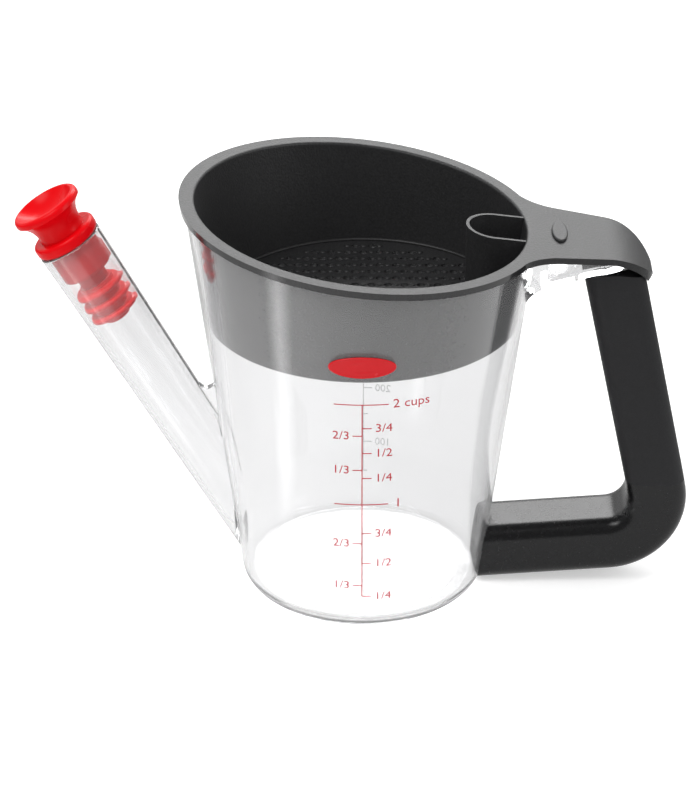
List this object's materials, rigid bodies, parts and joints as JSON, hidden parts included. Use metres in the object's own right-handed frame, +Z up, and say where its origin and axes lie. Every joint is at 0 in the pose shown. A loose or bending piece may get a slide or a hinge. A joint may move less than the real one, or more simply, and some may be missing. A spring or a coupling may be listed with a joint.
{
  "type": "fat separator",
  "caption": "Clear measuring cup for gravy with a low slanting spout and stopper, a lift-off strainer with a thumb tab, and a black handle.",
  "frame": {"origin": "centre of the cup's foot, on the table", "axes": "+Z up, +X towards the handle, the spout towards -X"},
  "size_m": [0.2098, 0.111, 0.1341],
  "materials": {
    "clear": "clear, polished",
    "grip": "soft, matte",
    "elbow": "satin",
    "strainer": "fine matte texture",
    "stopper": "gloss",
    "seal": "smooth"
  },
  "bodies": {
    "cup": {"cup_shell": "clear", "pour_spout": "clear", "spout_web": "clear", "handle_bridge": "clear", "handle_post": "clear", "lower_lug": "clear", "grip_sleeve": "grip", "elbow_cover": "elbow"},
    "strainer": {"strainer_basket": "strainer", "strainer_floor": "strainer", "vent_channel": "strainer", "thumb_tab": "strainer"},
    "stopper": {"stopper_knob": "stopper", "stopper_seal": "seal"}
  },
  "joints": [
    {"name": "strainer_lift", "type": "slide", "parent": "cup", "child": "strainer", "axis": [0, 0, 1], "range_m": [0, 0.06]},
    {"name": "stopper_pull", "type": "slide", "parent": "cup", "child": "stopper", "axis": [-0.492, 0, 0.8706], "range_m": [0, 0.04]}
  ]
}
